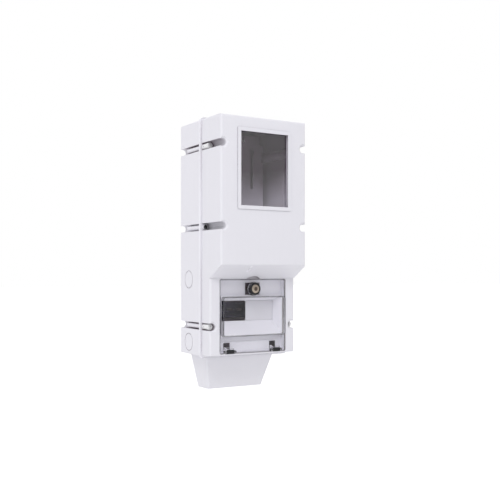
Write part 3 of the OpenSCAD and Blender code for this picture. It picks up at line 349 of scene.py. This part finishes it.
# The materials of the record's slots
materials = {
    "shell": moulded("shell_plastic", SHELL, 0.5, gloss=0.35, recess_shade=0.8, flange=True, inside=True),
    "panel_plastic": moulded("panel_plastic", PANEL, 0.45, recess_shade=0.15, reach=0.008),
    "white_plastic": moulded("white_plastic", WHITE, 0.35, grain=2200, grain_depth=1e-5, edge=4e-4,
                             recess_shade=0.3, reach=0.012),
    "black_plastic": moulded("black_plastic", BLACK, 0.38, grain=2200, grain_depth=1.5e-5, drift=0.12,
                             scuffed_highlit=0.9, edge=5e-4, gloss=0.2),
    "clear": see_through("clear_plastic", CLEAR, CLEAR_LETS_BY, 0.02, ior=1.3, edge=1.5e-3,
                         outlines=((RAISED_OUTLINE, 0.85), (DOOR_OUTLINE, 0.5))),
    "smoked_clear": see_through("smoked_plastic", SMOKED, SMOKED_LETS_BY, 0.03, ior=1.5, edge=9e-4),
    "rubber": rubber("black_rubber", RUBBER),
    "brass": metal("turned_brass", BRASS, 0.28, stretch=(1, 0.1, 1)),
    "screw_steel": metal("plated_screws", STEEL, 0.32, scale=900),
    "zinc_steel": metal("rail_in_painted_shade", RAIL_ZINC_SHADED, 0.62, stretch=(0.06, 1, 1)),
    "nickel": metal("brushed_nickel", NICKEL, 0.26, stretch=(1, 1, 0.08), scale=1400),
}
# The materials of nodes that differ from the rest of their slot
own = {
    "base_housing": moulded("base_plastic", shade(SHELL, 1.03), 0.5, gloss=0.35, recess_shade=0.2, flange=True,
                            inside=True),
    # The funnel is lighter than the shell partly as its own moulding, partly as painted light against the
    # shade under the housing
    "cable_funnel": moulded("funnel_plastic", shade(SHELL, 1.035), 0.5, gloss=0.35, recess_shade=0.5),
    "blanking_strip": moulded("strip_plastic", shade(PANEL, 0.83), 0.5, recess_shade=0.15, reach=0.008),
    "meter_plate": moulded("plate_plastic", PANEL, 0.45, recess_shade=0.4, inside=True),
    "middle_screws": metal("blackened_screws", BLACKED_STEEL, 0.38, scale=900),
    "hinge_pins": metal("blackened_pins", BLACKED_STEEL, 0.38, stretch=(0.1, 1, 1), scale=900),
    "lock_core": metal("core_nickel", DULL_NICKEL, 0.34, stretch=(1, 1, 0.1), scale=1100),
}

for name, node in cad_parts.items():
    for slot in node.material_slots:
        slot.material = own.get(name) or materials[slot.material.name.split(".")[0]]


# Floor, light and camera

def link(name, data):
    """A new object in the scene."""
    made = bpy.data.objects.new(name, data)
    bpy.context.scene.collection.objects.link(made)
    return made


def floor():
    """Pale floor that takes the object's shadow, and is nearly white to look at."""
    mesh = bpy.data.meshes.new("floor")
    corners = [(x * FLOOR_HALF, y * FLOOR_HALF, FLOOR_Z) for x, y in ((-1, -1), (1, -1), (1, 1), (-1, 1))]
    mesh.from_pydata(corners, [], [(0, 1, 2, 3)])
    material, tree = new_material("floor_paint")
    pale = add(tree, "BsdfDiffuse", {"Color": FLOOR})
    glow = add(tree, "Emission", {"Color": PLAIN_WHITE, "Strength": FLOOR_GLOW})
    glowing = add(tree, "AddShader", {0: pale.outputs[0], 1: glow.outputs[0]})
    finish_with(tree, mix_shaders(tree, looking(tree), pale, glowing))
    mesh.materials.append(material)
    link("floor", mesh)


def sky():
    """White to look at. As light it is level all round, with more from above and from the left."""
    world = bpy.data.worlds.new("studio")
    world.use_nodes = True
    tree = world.node_tree
    tree.nodes.clear()
    way = parts_of(tree, add(tree, "TexCoord").outputs["Generated"])
    leftwards = most(tree, times(tree, way["X"], -1), 0)
    level = maths(tree, "MULTIPLY_ADD", leftwards, SKY_LEFT, SKY_LEVEL)
    level = maths(tree, "MULTIPLY_ADD", most(tree, way["Z"], 0), SKY_ABOVE, level)
    light = add(tree, "Background", {"Color": PLAIN_WHITE, "Strength": level})
    white = add(tree, "Background", {"Color": PLAIN_WHITE, "Strength": 1.0})
    add(tree, "OutputWorld", {"Surface": mix_shaders(tree, looking(tree), light, white).outputs[0]})
    bpy.context.scene.world = world


def lamp():
    """One large soft lamp, high at the front left, that faces the origin."""
    data = bpy.data.lights.new("key", "AREA")
    data.shape = "DISK"
    data.size = LAMP_SIZE
    data.energy = LAMP_POWER
    made = link("key", data)
    made.location = LAMP_AT
    made.rotation_euler = (-Vector(LAMP_AT)).to_track_quat("-Z", "Y").to_euler()


def camera():
    """Level camera at the photograph's angle, in front and to the left."""
    data = bpy.data.cameras.new("camera")
    data.sensor_width = 36
    data.lens = CAMERA_LENS
    data.shift_y = CAMERA_SHIFT
    data.clip_end = 100
    made = link("camera", data)
    made.location = CAMERA_AT
    made.rotation_euler = (math.radians(90), 0, math.radians(CAMERA_TURN))
    bpy.context.scene.camera = made


floor()
sky()
lamp()
camera()
bpy.context.scene.view_settings.view_transform = "Standard"

bpy.context.view_layer.update()
